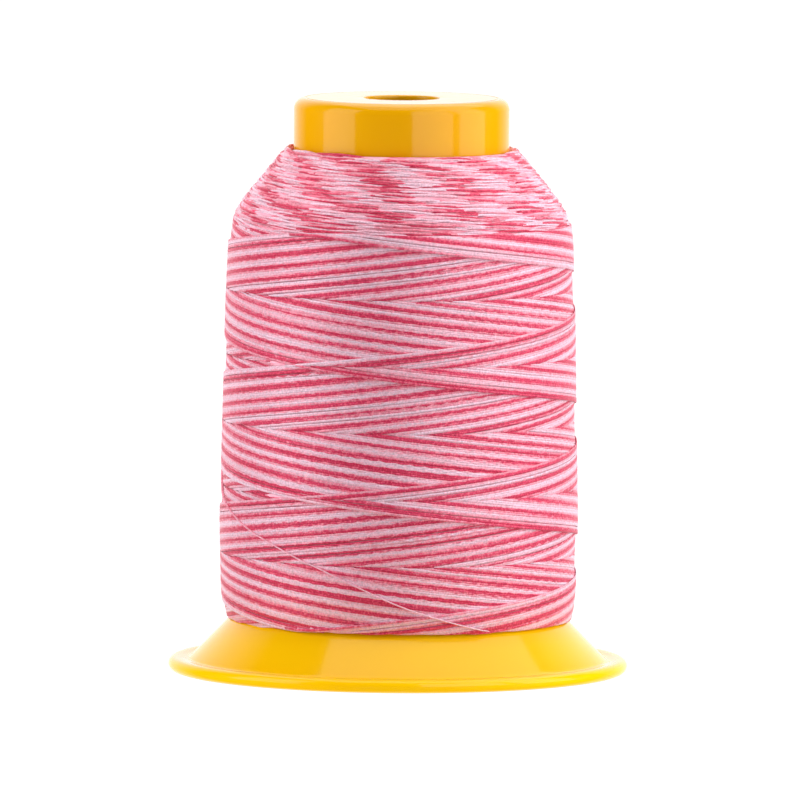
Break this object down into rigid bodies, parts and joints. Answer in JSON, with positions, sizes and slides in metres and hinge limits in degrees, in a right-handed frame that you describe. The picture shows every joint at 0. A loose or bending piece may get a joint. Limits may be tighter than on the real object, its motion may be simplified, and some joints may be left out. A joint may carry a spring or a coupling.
{
  "type": "spool of woolly serger thread",
  "caption": "Moulded plastic thread spool with a flared foot and spindle hole, wound with variegated woolly thread whose loose end lies over the winding.",
  "frame": {"origin": "centre of the ring that the spool stands on", "axes": "+Z along the spindle hole towards the cap; -Y faces the camera of the picture"},
  "size_m": [0.056, 0.056, 0.07],
  "materials": {
    "spool_plastic": "smooth moulded yellow-orange plastic, glossy",
    "woolly_thread": "soft textured nylon yarn, space-dyed from white through pink to crimson"
  },
  "bodies": {
    "root": {"spool": "spool_plastic", "wound_thread": "woolly_thread", "thread_tail": "woolly_thread"}
  },
  "joints": []
}
